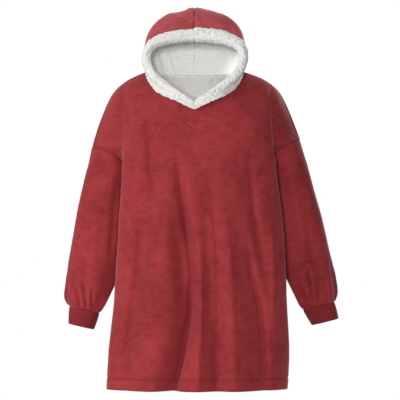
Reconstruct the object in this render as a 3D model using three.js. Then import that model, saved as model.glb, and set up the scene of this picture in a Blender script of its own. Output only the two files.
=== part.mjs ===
// A hooded, long-sleeved wearable blanket, filled out as it is when worn.
// Millimetres, +Z up, the front towards -Y. The origin lies between the shoulder tops.
import * as THREE from "three";

// Driving sizes
const FLEECE = 2.6;
const HEM_FOLD = 4.4;
const RIB_WALL = 3;
const PILE = 5;
const SEAM_GAP = 0.3;
const ARMPIT_EASE = 3;
const HOOD_FOOT_EASE = 2.6;
const LINING_GAP = 0.7;
const LINING_GAP_NEAR_FACE = 1.5;
const LINING_CLOSE_COLUMN = 8;
const HOOD_CENTRE_X = -7.5;
const BORDER_WIDTH = 24;
const BORDER_WIDTH_AT_V = 15;
const BORDER_PUFF = 13;
const BORDER_LIFT = 0.9;
const BORDER_EDGE_GAP = 0.95;
const BORDER_LIFT_AT_V = 9.8;
const BORDER_THINNEST = 3;
const RAY_START = 16;
const BORDER_WIDENING_ROWS = 3;
const BORDER_FORWARD_ROWS = [1, 4];
const PILE_AT_FACE_EDGE = 1.5;
const BEFORE_THE_FACE = new THREE.Vector3(HOOD_CENTRE_X, -220, 40);
const NECK_LINING_FOOT = "arm";
const NECK_LINING_FIRST_COLUMN = 2;
const FORWARD = new THREE.Vector3(0, -1, 0);

const RED = 0x9c1f2b;
const CREAM = 0xefe9dd;

const lerp = THREE.MathUtils.lerp;
const smooth = THREE.MathUtils.smoothstep;

// Rows of values as objects with the named columns; a short row leaves its last columns out.
const table = (columns, rows) =>
  rows.map((row) => Object.fromEntries(columns.split(" ").map((name, k) => [name, row[k]])));

// The seam where front and back meet: side seam, armhole and shoulder.
// front and back are the depths of the two panels' edges, apart only round the armhole.
// steps is how many grid rows lie between a row and the next one.
const EDGE = table("at left right zLeft zRight front back steps", [
  ["hem", -266, 266, -940, -937, 8, 8, 1],
  ["stitch", -268, 270, -903, -902, 8, 8, 3],
  ["thigh", -260, 268, -800, -800, 10, 10, 2],
  ["hip", -250, 262, -720, -720, 14, 14, 3],
  ["seat", -233, 248, -630, -630, 22, 22, 3],
  ["waist", -212, 224, -520, -520, 28, 28, 3],
  ["rib", -193, 197, -400, -400, 30, 30, 2],
  ["chest", -186, 184, -330, -330, 30, 30, 2],
  ["armpit", -186, 184, -287, -280, 30, 30, 2],
  ["low", -226, 230, -254, -236, -22, 82, 2],
  ["middle", -255, 257, -237, -217, -33, 92, 1],
  ["high", -289, 288, -222, -202, -18, 74, 2],
  ["tip", -315, 311, -211, -193, 26, 26, 2],
  ["arm", -298, 294, -155, -148, 25, 25, 2],
  ["point", -275, 272, -96, -94, 23, 23, 2],
  ["slope", -249, 245, -46, -44, 19, 19, 1],
  ["collar", -208, 204, -11, -10, 14, 14, 1],
  ["neck", -153, 138, 10, 11, 10, 10, 0],
]);

// One row for each row of EDGE: the middle of the panel, the rounded side of the chest (bulge),
// the crease between chest and arm (valley) and the front of the arm (arm).
const FRONT = table("z y bulgeL bulgeR bulgeY valleyL valleyR valleyY armL armR armY", [
  [-938, -184, -268, 269, -62],
  [-903, -184, -268, 273, -62],
  [-800, -180, -261, 275, -64],
  [-720, -176, -251, 270, -66],
  [-630, -171, -244, 267, -68],
  [-520, -165, -237, 264, -70],
  [-405, -159, -230, 254, -72],
  [-340, -155, -227, 246, -72],
  [-300, -152, -226, 240, -72],
  [-277, -151, -225, 236, -73, -213, 218, -45, -215, 219, -32],
  [-254, -150, -222, 231, -76, -222, 226, -48, -238, 240, -38],
  [-231, -149, -218, 226, -80, -227, 229, -54, -258, 260, -45],
  [-208, -147, -215, 221, -83, -229, 230, -58, -277, 277, -38],
  [-185, -144, -212, 217, -84, -229, 230, -61, -268, 266, -36],
  [-162, -139, -204, 209, -82, -225, 226, -62, -254, 253, -34],
  [-139, -133, -188, 190, -76, -212, 211, -54, -235, 233, -24],
  [-115, -125, -158, 157, -72, -181, 179, -44, -198, 195, -14],
  [-92, -117, -118, 103, -80, -138, 123, -50, -149, 134, -18],
]);

// The same columns on the back.
const BACK = table("z y bulgeL bulgeR bulgeY valleyL valleyR valleyY armL armR armY", [
  [-940, 168, -252, 254, 96],
  [-903, 168, -253, 257, 96],
  [-800, 165, -247, 258, 98],
  [-720, 161, -240, 254, 102],
  [-630, 158, -231, 247, 108],
  [-520, 155, -222, 237, 112],
  [-405, 151, -213, 222, 113],
  [-340, 149, -209, 213, 113],
  [-300, 148, -208, 209, 113],
  [-272, 148, -207, 208, 114, -207, 209, 94, -214, 217, 86],
  [-244, 148, -204, 205, 117, -222, 223, 100, -239, 241, 97],
  [-216, 147, -200, 201, 120, -226, 227, 103, -259, 260, 98],
  [-186, 146, -196, 197, 122, -227, 227, 105, -276, 275, 88],
  [-148, 143, -192, 192, 122, -224, 223, 103, -266, 263, 82],
  [-108, 138, -184, 183, 118, -216, 214, 96, -250, 247, 70],
  [-68, 130, -168, 165, 109, -199, 195, 84, -230, 226, 56],
  [-32, 115, -140, 132, 98, -170, 162, 72, -193, 188, 44],
  [2, 95, -112, 97, 66, -135, 120, 45, -148, 133, 27],
]);

// Where the points across a panel lie when a row doesn't give them. Valley and arm: shares of the way
// from bulge to seam. Shoulder and breast: x as a share of the bulge's, y from the middle to the bulge.
const VALLEY_SHARE = { x: 0.42, y: 0.46 };
const ARM_SHARE = { x: 0.84, y: 0.76 };
const SHOULDER_SHARE = { x: 0.79, y: 0.4 };
const BREAST_SHARE = { x: 0.42, y: 0.07 };
// How far down from edge height to middle height the points across a panel lie, edge first.
const HEIGHT_SHARE = [0, 0.09, 0.26, 0.49, 0.71, 0.92, 1];
// Grid columns between those points.
const FRONT_COLUMNS = [1, 1, 2, 3, 5, 6];
const BACK_COLUMNS = [1, 1, 2, 2, 3, 3];
// Folds grow from nothing to their full depth between these columns from a seam.
const FOLD_FREE_COLUMNS = [1, 4];

// Folds that hang in the cloth; a negative depth is a ridge. path rows are [z, x, depth into the
// body], top first, and width is the half-width.
const FRONT_FOLDS = table("name width path", [
  [
    "long fold left of the middle",
    25,
    [[-250, -58, 0], [-405, -51, 12], [-558, -36, 22], [-708, -27, 30], [-837, -45, 34], [-940, -78, 36]],
  ],
  [
    "long fold right of the middle",
    21,
    [[-225, 21, 0], [-357, 30, 7], [-582, 42, 13], [-753, 48, 18], [-940, 60, 20]],
  ],
  [
    "fold under the right chest",
    20,
    [[-200, 155, 0], [-366, 159, 9], [-525, 186, 14], [-618, 207, 9], [-690, 214, 0]],
  ],
  [
    "fold at the right hip",
    21,
    [[-470, 140, 0], [-582, 144, 10], [-687, 171, 17], [-858, 189, 20], [-940, 194, 20]],
  ],
  [
    "fold under the hood",
    19,
    [[-75, -148, 0], [-150, -143, 8], [-330, -132, 7], [-430, -130, 0]],
  ],
  [
    "fold at the left hip",
    22,
    [[-330, -178, 0], [-474, -165, 10], [-666, -177, 14], [-816, -204, 15], [-940, -212, 15]],
  ],
  [
    "ridge between the left folds",
    24,
    [[-330, -112, 0], [-560, -112, -9], [-760, -128, -13], [-940, -140, -14]],
  ],
  [
    "ridge in the middle",
    20,
    [[-400, -3, 0], [-600, 3, -8], [-780, 3, -12], [-940, -4, -13]],
  ],
  [
    "wide ridge right of the middle",
    30,
    [[-300, 92, 0], [-520, 92, -8], [-760, 112, -12], [-940, 120, -13]],
  ],
]);
const BACK_FOLDS = table("name width path", [
  [
    "fold left of the spine",
    27,
    [[-190, -62, 0], [-400, -70, 12], [-700, -84, 24], [-940, -96, 30]],
  ],
  [
    "fold right of the spine",
    25,
    [[-240, 44, 0], [-480, 50, 11], [-760, 46, 20], [-940, 38, 26]],
  ],
  [
    "fold under the left shoulder blade",
    22,
    [[-150, -150, 0], [-330, -158, 9], [-560, -166, 13], [-940, -182, 17]],
  ],
  [
    "fold under the right shoulder blade",
    24,
    [[-180, 140, 0], [-420, 146, 11], [-640, 152, 15], [-940, 160, 21]],
  ],
  [
    "ridge over the spine",
    26,
    [[-320, -6, 0], [-620, -14, -8], [-940, -26, -13]],
  ],
]);

// Sleeve sections below the armhole: the middle (x, y, z), width across, depth, and how far the outer
// side is lifted, in degrees. A row is one ring; gather is the height of the puckers in it.
const SLEEVE_LEFT = table("x y z width depth lift gather", [
  [-263, 33, -290, 158, 124, 26, 0],
  [-273, 35, -345, 160, 126, 18, 0],
  [-280, 38, -400, 162, 124, 13, 0],
  [-289, 41, -455, 162, 122, 11, 0],
  [-298, 43, -510, 160, 120, 10, 0.8],
  [-307, 44, -560, 158, 117, 10, 1.6],
  [-315, 44, -605, 154, 113, 10, 2.6],
  [-325.5, 43, -643, 139, 106, 11, 4],
  [-334.5, 42, -674, 127, 96, 12, 5],
  [-340, 41, -697, 113, 84, 13, 3.6],
  [-339.5, 40, -706, 92, 66, 13, 0],
]);
const SLEEVE_RIGHT = table("x y z width depth lift gather", [
  [267, 33, -275, 158, 124, 26, 0],
  [277, 35, -332, 160, 126, 18, 0],
  [286, 38, -388, 162, 124, 14, 0],
  [299, 41, -445, 162, 122, 12, 0],
  [311.5, 43, -500, 160, 120, 12, 0.8],
  [323, 44, -548, 158, 117, 12, 1.8],
  [337.5, 44, -592, 149, 113, 13, 3],
  [350, 43, -630, 136, 106, 13, 4.6],
  [360.5, 42, -662, 125, 98, 14, 5.4],
  [366, 41, -686, 113, 88, 14, 3.8],
  [367, 40, -695, 97, 70, 14, 0],
]);
const GATHERS = 7;
const GATHER_DRIFT = 0.6;
// Sleeve rings that still carry some of the armhole's shape.
const ARMHOLE_ROWS = 3;
const ARMPIT_EASE_SHARPNESS = 6;

// Rib cuffs run on from the last sleeve section.
const CUFF_LEFT = { length: 50, endX: -349, endZ: -756, widthAtEnd: 78, depthAtEnd: 58 };
const CUFF_RIGHT = { length: 50, endX: 386.5, endZ: -742, widthAtEnd: 82, depthAtEnd: 60 };
const RIBS = 40;
const RIB_HEIGHT = 1.1;
const RIB_SHARE_AT_ENDS = 0.3;
const CUFF_LEVELS = [0, 0.12, 0.88, 1];
const CUFF_TAPER_END = 1.2;

// Hood levels, from just above the neckline to the crown seam. Each point is [half-width, y, z]:
// the face edge, the cheek, the side, the nape side and the middle of the back.
// rightShare widens the right half, which stands out a little more than the left.
const HOOD = table("edge cheek side nape back rightShare", [
  [[62, -112, -52], [127, -74, -20], [152, 4, 32], [110, 78, 34], [0, 112, 35], 1],
  [[122, -98, -8], [145, -56, 24], [157, 8, 58], [115, 88, 66], [0, 130, 70], 1],
  [[143, -80, 38], [150, -38, 66], [150, 20, 95], [109, 104, 102], [0, 144, 104], 1.01],
  [[133, -64, 80], [139, -18, 118], [130, 34, 149], [85, 108, 148], [0, 146, 134], 1.04],
  [[81, -50, 101], [87, -10, 155], [84, 38, 191], [52, 96, 185], [0, 140, 161], 1.06],
  [[0, -42, 108], [0, -10, 167], [0, 38, 207], [0, 86, 202], [0, 120, 185], 1],
]);
const ROWS_PER_HOOD_LEVEL = 2;
const LINING_INSIDE_COLUMNS = [1, 2, 4, 6, 8, 10, 12, 14, 15];
// The border's cross-section. Outside: share of its width back from the face edge, share of its puff,
// and the column of the hood that it lies on. Edge: how far it stands ahead of the face edge and
// rises from the cloth, and how deep in the cloth's thickness the point behind it lies.
const BORDER_OUTSIDE = table("share height column", [
  [1, 0.3, 3],
  [0.62, 0.86, 2],
  [0.24, 1, 1],
]);
const BORDER_EDGE = table("ahead rise through", [
  [7, 9, -0.9],
  [10.5, -1.5, 1.3],
  [7, -10.6, 3.5],
]);
// Below this row the border lies over the neckline seam and the front panel as well as the hood.
const BORDER_FIRST_GRID_ROW = 5;

// Grid points closer than this are one point when normals are shared.
const SAME_POINT = 0.02;

// A smooth curve through the points, sampled steps[i] times between point i and i + 1.
function through(points, steps, before, after) {
  const first = before ?? points[0].clone().multiplyScalar(2).sub(points[1]);
  const last = after ?? points.at(-1).clone().multiplyScalar(2).sub(points.at(-2));
  const curve = new THREE.CatmullRomCurve3([first, ...points, last], false, "centripetal");
  const segments = points.length + 1;
  const out = [points[0].clone()];
  steps.forEach((count, i) => {
    for (let k = 1; k <= count; k++) out.push(curve.getPoint((i + 1 + k / count) / segments));
  });
  return out;
}

// The value of one column along a fold's path at height z, zero beyond the path's ends.
function along(path, z, column) {
  for (let i = 0; i + 1 < path.length; i++) {
    const [upper, lower] = [path[i], path[i + 1]];
    if (z <= upper[0] && z >= lower[0]) {
      const share = (upper[0] - z) / (upper[0] - lower[0]);
      return lerp(upper[column], lower[column], (smooth(share, 0, 1) + share) / 2);
    }
  }
  return column === 2 && z > path[0][0] ? 0 : path[z > path[0][0] ? 0 : path.length - 1][column];
}

// How deep the folds press the cloth in at a point.
function foldDepth(folds, p) {
  return folds.reduce((sum, fold) => {
    const offset = (p.x - along(fold.path, p.z, 1)) / fold.width;
    return sum + along(fold.path, p.z, 2) * Math.exp(-offset * offset);
  }, 0);
}

// The points across one row of a panel on one side, from the seam to the middle.
function halfRow(row, edge, side, face) {
  const left = side === "left";
  const pick = (name) => row[name + (left ? "L" : "R")];
  const [edgeX, edgeZ] = left ? [edge.left, edge.zLeft] : [edge.right, edge.zRight];
  const e = new THREE.Vector3(edgeX, edge[face], edgeZ);
  const bulge = [pick("bulge"), row.bulgeY];
  const valley = row.valleyY === undefined
    ? [lerp(bulge[0], e.x, VALLEY_SHARE.x), lerp(bulge[1], e.y, VALLEY_SHARE.y)]
    : [pick("valley"), row.valleyY];
  const arm = row.armY === undefined
    ? [lerp(bulge[0], e.x, ARM_SHARE.x), lerp(bulge[1], e.y, ARM_SHARE.y)]
    : [pick("arm"), row.armY];
  const shoulder = [bulge[0] * SHOULDER_SHARE.x, lerp(row.y, bulge[1], SHOULDER_SHARE.y)];
  const breast = [bulge[0] * BREAST_SHARE.x, lerp(row.y, bulge[1], BREAST_SHARE.y)];
  const flat = [[e.x, e.y], arm, valley, bulge, shoulder, breast, [HOOD_CENTRE_X, row.y]];
  return flat.map(([x, y], k) => new THREE.Vector3(x, y, lerp(e.z, row.z, HEIGHT_SHARE[k])));
}

// The grid of a panel's outer points: rows from hem to neckline, columns from first side to second.
function panelGrid(rows, columns, face, otherRows, otherFace, firstSide, folds) {
  const secondSide = firstSide === "left" ? "right" : "left";
  const steps = [...columns, ...[...columns].reverse()];
  const knots = rows.map((row, i) => {
    const a = halfRow(row, EDGE[i], firstSide, face);
    const b = halfRow(row, EDGE[i], secondSide, face).reverse().slice(1);
    const closed = EDGE[i].front === EDGE[i].back;
    const before = closed ? halfRow(otherRows[i], EDGE[i], firstSide, otherFace)[1] : undefined;
    const after = closed ? halfRow(otherRows[i], EDGE[i], secondSide, otherFace)[1] : undefined;
    return through([...a, ...b], steps, before, after);
  });
  const rowSteps = EDGE.slice(0, -1).map((edge) => edge.steps);
  const armpit = EDGE.findIndex((edge) => edge.at === "armpit");
  const tip = EDGE.findIndex((edge) => edge.at === "tip");
  const seam = (points) => [
    ...through(points.slice(0, armpit + 1), rowSteps.slice(0, armpit)),
    ...through(points.slice(armpit, tip + 1), rowSteps.slice(armpit, tip)).slice(1),
    ...through(points.slice(tip), rowSteps.slice(tip)).slice(1),
  ];
  const byColumn = knots[0].map((_, j) => {
    const points = knots.map((row) => row[j]);
    return j === 0 || j === knots[0].length - 1 ? seam(points) : through(points, rowSteps);
  });
  const grid = byColumn[0].map((_, i) => byColumn.map((column) => column[i]));
  const depth = face === "front" ? 1 : -1;
  const last = grid[0].length - 1;
  grid.forEach((row) =>
    row.forEach((p, j) => {
      const fromSeam = smooth(Math.min(j, last - j), ...FOLD_FREE_COLUMNS);
      p.y += depth * fromSeam * foldDepth(folds, p);
    }),
  );
  return grid;
}

// Every second point of a row is set midway between its neighbours.
function straightenOddPoints(row) {
  for (let j = 1; j < row.length - 1; j += 2) row[j].lerpVectors(row[j - 1], row[j + 1], 0.5);
}

// The sum of the normals of the grid cells round a point, larger cells counting more.
function gridNormal(grid, i, j, ring) {
  const columns = grid[0].length;
  const sum = new THREE.Vector3();
  for (const row of [i - 1, i]) {
    for (const column of [j - 1, j]) {
      if (row < 0 || row > grid.length - 2) continue;
      if (!ring && (column < 0 || column > columns - 2)) continue;
      const [c, d] = [(column + columns) % columns, (column + 1) % columns];
      const diagonal = grid[row + 1][d].clone().sub(grid[row][c]);
      sum.add(diagonal.cross(grid[row + 1][c].clone().sub(grid[row][d])));
    }
  }
  return sum;
}

const keyOf = (p) => [p.x, p.y, p.z].map((v) => Math.round(v / SAME_POINT)).join();

// Outward normals of several pieces' grids, shared where the pieces meet at a seam. Each group of
// pieces counts once there, so that a sharp fold between two groups is split evenly.
function sharedNormals(pieces) {
  const sums = new Map();
  for (const { grid, ring, turned, group } of pieces) {
    grid.forEach((row, i) =>
      row.forEach((p, j) => {
        const n = gridNormal(grid, i, j, ring).multiplyScalar(turned ? -1 : 1);
        const key = keyOf(p);
        const groups = sums.get(key) ?? {};
        groups[group] = (groups[group] ?? new THREE.Vector3()).add(n);
        sums.set(key, groups);
      }),
    );
  }
  const shared = (p) =>
    Object.values(sums.get(keyOf(p)))
      .reduce((sum, n) => sum.add(n.clone().normalize()), new THREE.Vector3())
      .normalize();
  for (const piece of pieces) piece.normals = piece.grid.map((row) => row.map(shared));
}

// Moves a piece's border in from its seams by half the seam gap, along the cloth.
function openSeams(piece) {
  const { grid, normals, ring, ease } = piece;
  const last = grid.length - 1;
  const width = grid[0].length;
  const moves = [];
  const addMove = (i, j, before, after, inside) => {
    const along = after.clone().sub(before);
    const inward = along.cross(normals[i][j]).normalize();
    if (inward.dot(inside.clone().sub(grid[i][j])) < 0) inward.negate();
    moves.push([i, j, inward.multiplyScalar((SEAM_GAP / 2) * (ease ? ease(i, j) : 1))]);
  };
  for (let j = 0; j < width; j++) {
    const before = ring ? (j - 1 + width) % width : Math.max(j - 1, 0);
    const after = ring ? (j + 1) % width : Math.min(j + 1, width - 1);
    addMove(0, j, grid[0][before], grid[0][after], grid[1][j]);
    addMove(last, j, grid[last][before], grid[last][after], grid[last - 1][j]);
  }
  if (!ring) {
    for (let i = 0; i <= last; i++) {
      const [before, after] = [Math.max(i - 1, 0), Math.min(i + 1, last)];
      addMove(i, 0, grid[before][0], grid[after][0], grid[i][1]);
      addMove(i, width - 1, grid[before][width - 1], grid[after][width - 1], grid[i][width - 2]);
    }
  }
  piece.outer = grid.map((row) => row.map((p) => p.clone()));
  for (const [i, j, move] of moves) piece.outer[i][j].add(move);
}

// The points behind a piece's outer points, one wall thickness in.
function wallInside(piece, thickness) {
  return piece.outer.map((row, i) =>
    row.map((p, j) => p.clone().addScaledVector(piece.normals[i][j], -thickness(i, j))),
  );
}

// A closed wall between two grids of points, open along its rows or closed into a tube.
function wallGeometry(outer, inner, ring) {
  const rows = outer.length;
  const columns = outer[0].length;
  const positions = [...outer.flat(), ...inner.flat()].flatMap((p) => [p.x, p.y, p.z]);
  const size = rows * columns;
  const index = [];
  const quad = (a, b, c, d) => index.push(a, b, c, a, c, d);
  const spans = ring ? columns : columns - 1;
  const at = (i, j) => i * columns + (j % columns);
  for (let i = 0; i < rows - 1; i++) {
    for (let j = 0; j < spans; j++) {
      quad(at(i, j), at(i, j + 1), at(i + 1, j + 1), at(i + 1, j));
      quad(size + at(i, j), size + at(i + 1, j), size + at(i + 1, j + 1), size + at(i, j + 1));
    }
  }
  for (let j = 0; j < spans; j++) {
    quad(at(0, j + 1), at(0, j), size + at(0, j), size + at(0, j + 1));
    quad(at(rows - 1, j), at(rows - 1, j + 1), size + at(rows - 1, j + 1), size + at(rows - 1, j));
  }
  if (!ring) {
    for (let i = 0; i < rows - 1; i++) {
      quad(at(i, 0), at(i + 1, 0), size + at(i + 1, 0), size + at(i, 0));
      const [upper, lower] = [at(i + 1, columns - 1), at(i, columns - 1)];
      quad(upper, lower, size + lower, size + upper);
    }
  }
  return facingOut(positions, index);
}

// The geometry with its faces turned round if they enclose a negative volume.
function facingOut(positions, index) {
  const corner = (k) => new THREE.Vector3().fromArray(positions, index[k] * 3);
  let volume = 0;
  for (let k = 0; k < index.length; k += 3) volume += corner(k).dot(corner(k + 1).cross(corner(k + 2)));
  if (volume < 0) {
    for (let k = 0; k < index.length; k += 3) [index[k + 1], index[k + 2]] = [index[k + 2], index[k + 1]];
  }
  const geometry = new THREE.BufferGeometry();
  geometry.setAttribute("position", new THREE.Float32BufferAttribute(positions, 3));
  geometry.setIndex(index);
  geometry.computeVertexNormals();
  return geometry;
}

// The loop of an armhole: up the front panel's edge to the tip, then down the back panel's.
function armholeLoop(frontGrid, backGrid, side) {
  const low = rowOf("armpit");
  const tip = rowOf("tip");
  const frontColumn = side === "left" ? 0 : frontGrid[0].length - 1;
  const backColumn = side === "left" ? backGrid[0].length - 1 : 0;
  const loop = [];
  for (let i = low; i < tip; i++) loop.push(frontGrid[i][frontColumn]);
  for (let i = tip; i > low; i--) loop.push(backGrid[i][backColumn]);
  return loop.flatMap((p, k) => [p.clone(), p.clone().lerp(loop[(k + 1) % loop.length], 0.5)]);
}

// The grid row that a named row of EDGE falls on.
function rowOf(name) {
  const index = EDGE.findIndex((edge) => edge.at === name);
  return EDGE.slice(0, index).reduce((sum, edge) => sum + edge.steps, 0);
}

// A point of a sleeve or cuff section; angle 0 is the outer side, a quarter turn is the back.
function sectionPoint(section, angle, side) {
  const outward = side === "left" ? -1 : 1;
  const lift = THREE.MathUtils.degToRad(section.lift);
  const pucker = section.gather * Math.cos(GATHERS * angle + GATHER_DRIFT * Math.sin(2 * angle));
  const across = Math.cos(angle) * (section.width / 2 + pucker);
  const deep = Math.sin(angle) * (section.depth / 2 + pucker);
  return new THREE.Vector3(
    section.x + outward * across * Math.cos(lift),
    section.y + deep,
    section.z + across * Math.sin(lift),
  );
}

// The angle of a sleeve ring's point; the first lies at the armpit.
const sleeveAngle = (k, count) => Math.PI + (2 * Math.PI * k) / count;

// The grid of a sleeve: the armhole loop, then the sections.
function sleeveGrid(loop, sections, side) {
  const angleOf = (k) => sleeveAngle(k, loop.length);
  const loopMiddle = loop.reduce((sum, p) => sum.add(p), new THREE.Vector3()).divideScalar(loop.length);
  const rings = sections.map((section, row) => {
    const share = smooth((row + 1) / (ARMHOLE_ROWS + 1), 0, 1);
    const middle = new THREE.Vector3(section.x, section.y, section.z);
    return loop.map((p, k) => {
      const carried = p.clone().sub(loopMiddle).add(middle);
      return carried.lerp(sectionPoint(section, angleOf(k), side), share);
    });
  });
  return [loop, ...rings];
}

// The offsets of a sleeve's first and last ring: chord points take their neighbours' mean,
// and the last ring's wall stays in the plane that meets the cuff.
function sleeveInside(piece, sections, side) {
  const inner = wallInside(piece, () => FLEECE);
  for (const ring of [piece.outer[0], inner[0]]) {
    ring.push(ring[0]);
    straightenOddPoints(ring);
    ring.pop();
  }
  const end = sections.at(-1);
  const smaller = { ...end, width: end.width - 2 * FLEECE, depth: end.depth - 2 * FLEECE };
  const count = inner[0].length;
  const endRing = (section) => inner[0].map((_, k) => sectionPoint(section, sleeveAngle(k, count), side));
  inner[inner.length - 1] = endRing(smaller);
  piece.outer[piece.outer.length - 1] = endRing(end);
  return inner;
}

// A ribbed tube that starts just under the sleeve's end: ribs outside, plain inside.
function cuffGeometry(sleeveEnd, cuff, side) {
  const axis = new THREE.Vector3(cuff.endX - sleeveEnd.x, 0, cuff.endZ - sleeveEnd.z).normalize();
  const count = RIBS * 2;
  const ringAt = (share, wall, rib) => {
    const taper = smooth(share, 0, CUFF_TAPER_END);
    const section = {
      x: lerp(sleeveEnd.x + axis.x * SEAM_GAP, cuff.endX, share),
      y: sleeveEnd.y,
      z: lerp(sleeveEnd.z + axis.z * SEAM_GAP, cuff.endZ, share),
      width: lerp(sleeveEnd.width, cuff.widthAtEnd, taper) - 2 * wall,
      depth: lerp(sleeveEnd.depth, cuff.depthAtEnd, taper) - 2 * wall,
      lift: sleeveEnd.lift,
      gather: 0,
    };
    return Array.from({ length: count }, (_, k) => {
      const raised = k % 2 === 0 ? rib : 0;
      const wide = { ...section, width: section.width + 2 * raised, depth: section.depth + 2 * raised };
      return sectionPoint(wide, (2 * Math.PI * k) / count, side);
    });
  };
  const ribAt = (share) => (share === 0 || share === 1 ? RIB_HEIGHT * RIB_SHARE_AT_ENDS : RIB_HEIGHT);
  const outer = CUFF_LEVELS.map((share) => ringAt(share, 0, ribAt(share)));
  const inner = CUFF_LEVELS.map((share) => ringAt(share, RIB_WALL, 0));
  return wallGeometry(outer, inner, true);
}

// The points of half a neckline, from the middle of the front round to the middle of the back.
function neckline(frontGrid, backGrid, side) {
  const front = frontGrid.at(-1).filter((_, j) => j % 2 === 0);
  const back = backGrid.at(-1).filter((_, j) => j % 2 === 0);
  const halfFront = (front.length - 1) / 2;
  const halfBack = (back.length - 1) / 2;
  return side === "left"
    ? [...front.slice(0, halfFront + 1).reverse(), ...back.slice(halfBack, -1).reverse()]
    : [...front.slice(halfFront), ...back.slice(1, halfBack + 1)];
}

// A point on the other side of the hood's centre.
const mirrored = (p) => new THREE.Vector3(2 * HOOD_CENTRE_X - p.x, p.y, p.z);

// The grid of half the hood: columns from the face edge to the back, rows from neckline to crown.
function hoodGrid(neck, side) {
  const sign = side === "left" ? -1 : 1;
  const place = ([half, y, z]) => new THREE.Vector3(HOOD_CENTRE_X + sign * half, y, z);
  const lengths = [0];
  neck.slice(1).forEach((p, j) => lengths.push(lengths[j] + p.distanceTo(neck[j])));
  const shares = lengths.map((length) => length / lengths.at(-1));
  const levelRow = (level) => {
    const corners = [level.edge, level.cheek, level.side, level.nape, level.back];
    const fuller = side === "right" ? level.rightShare : 1;
    const points = corners.map(([half, y, z]) => place([half * fuller, y, z]));
    const before = points[0].clone().multiplyScalar(2).sub(points[1]);
    const ghosts = [before, ...points, mirrored(place(level.nape))];
    const curve = new THREE.CatmullRomCurve3(ghosts, false, "centripetal");
    const spans = points.length - 1;
    return shares.map((share) => curve.getPoint((1 + share * spans) / (spans + 2)));
  };
  const levels = HOOD.map(levelRow);
  const steps = HOOD.map(() => ROWS_PER_HOOD_LEVEL);
  const beyond = levels.at(-2).map(mirrored);
  const byColumn = neck.map((p, j) => {
    const points = [p.clone(), ...levels.map((row) => row[j])];
    return through(points, steps, undefined, beyond[j]);
  });
  const grid = byColumn[0].map((_, i) => byColumn.map((column) => column[i]));
  grid.forEach((row) => {
    row[row.length - 1].x = HOOD_CENTRE_X;
  });
  grid.at(-1).forEach((p) => {
    p.x = HOOD_CENTRE_X;
  });
  return grid;
}

// The frame of the face edge at each row: along the edge, out of the cloth, and back from the edge.
function edgeFrames(piece) {
  const rim = piece.grid.map((row) => row[0]);
  return rim.map((p, i) => {
    const before = i === 0 ? mirrored(rim[1]) : rim[i - 1];
    const after = i === rim.length - 1 ? mirrored(rim[i - 1]) : rim[i + 1];
    const tangent = after.clone().sub(before).normalize();
    const forward = 1 - smooth(i, ...BORDER_FORWARD_ROWS);
    const out = piece.normals[i][0].clone().lerp(FORWARD, forward);
    out.addScaledVector(tangent, -out.dot(tangent)).normalize();
    const back = tangent.clone().cross(out).normalize();
    if (back.dot(p.clone().sub(BEFORE_THE_FACE)) < 0) back.negate();
    return { p: piece.outer[i][0], out, back };
  });
}

// Half the pile lining: outside as a border, round the face edge, then over the inside of the hood.
function liningGeometry(piece, side, carriers) {
  const ray = new THREE.Raycaster();
  const onCloth = (p, out) => {
    ray.set(p.clone().addScaledVector(out, RAY_START), out.clone().negate());
    const hit = ray.intersectObjects(carriers, false)[0];
    return hit && hit.distance < 2 * RAY_START ? hit.point : p.clone();
  };
  const rows = edgeFrames(piece).map(({ p, out, back }, i) => {
    const width = lerp(BORDER_WIDTH_AT_V, BORDER_WIDTH, smooth(i, 0, BORDER_WIDENING_ROWS));
    const base = [];
    const face = [];
    BORDER_OUTSIDE.forEach(({ share, height, column }) => {
      const nearNeck = i < BORDER_FIRST_GRID_ROW;
      const normal = nearNeck ? out : piece.normals[i][column];
      const cloth = nearNeck
        ? onCloth(p.clone().addScaledVector(back, width * share), out)
        : piece.outer[i][column].clone();
      const lift = nearNeck ? BORDER_LIFT_AT_V : BORDER_LIFT;
      const puff = Math.max(lift + BORDER_THINNEST, BORDER_PUFF * height);
      base.push(cloth.clone().addScaledVector(normal, lift));
      face.push(cloth.clone().addScaledVector(normal, puff));
    });
    BORDER_EDGE.forEach(({ ahead, rise, through: depth }) => {
      const before = p.clone().addScaledVector(back, -BORDER_EDGE_GAP);
      base.push(before.addScaledVector(piece.normals[i][0], -depth));
      face.push(p.clone().addScaledVector(back, -ahead).addScaledVector(out, rise));
    });
    LINING_INSIDE_COLUMNS.forEach((j) => {
      const inward = piece.normals[i][j];
      const gap = j < LINING_CLOSE_COLUMN ? LINING_GAP_NEAR_FACE : LINING_GAP;
      const foot = piece.outer[i][j].clone().addScaledVector(inward, -FLEECE - gap);
      base.push(foot);
      face.push(foot.clone().addScaledVector(inward, j === 1 ? -PILE * PILE_AT_FACE_EDGE : -PILE));
    });
    return { base, face };
  });
  const base = rows.map((row) => row.base);
  const face = rows.map((row) => row.face);
  keepToSide([...base, ...face], side);
  return wallGeometry(face, base, false);
}

// The pile behind the neck: it lines the back panel from the neckline down to its own foot.
function neckLiningGeometry(piece) {
  const last = piece.outer[0].length - NECK_LINING_FIRST_COLUMN;
  const behind = (depth) =>
    piece.outer.slice(rowOf(NECK_LINING_FOOT)).map((row, i) =>
      row.slice(NECK_LINING_FIRST_COLUMN, last).map((p, j) => {
        const normal = piece.normals[i + rowOf(NECK_LINING_FOOT)][j + NECK_LINING_FIRST_COLUMN];
        return p.clone().addScaledVector(normal, -depth);
      }),
    );
  return wallGeometry(behind(FLEECE + LINING_GAP), behind(FLEECE + LINING_GAP + PILE), false);
}

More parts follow.
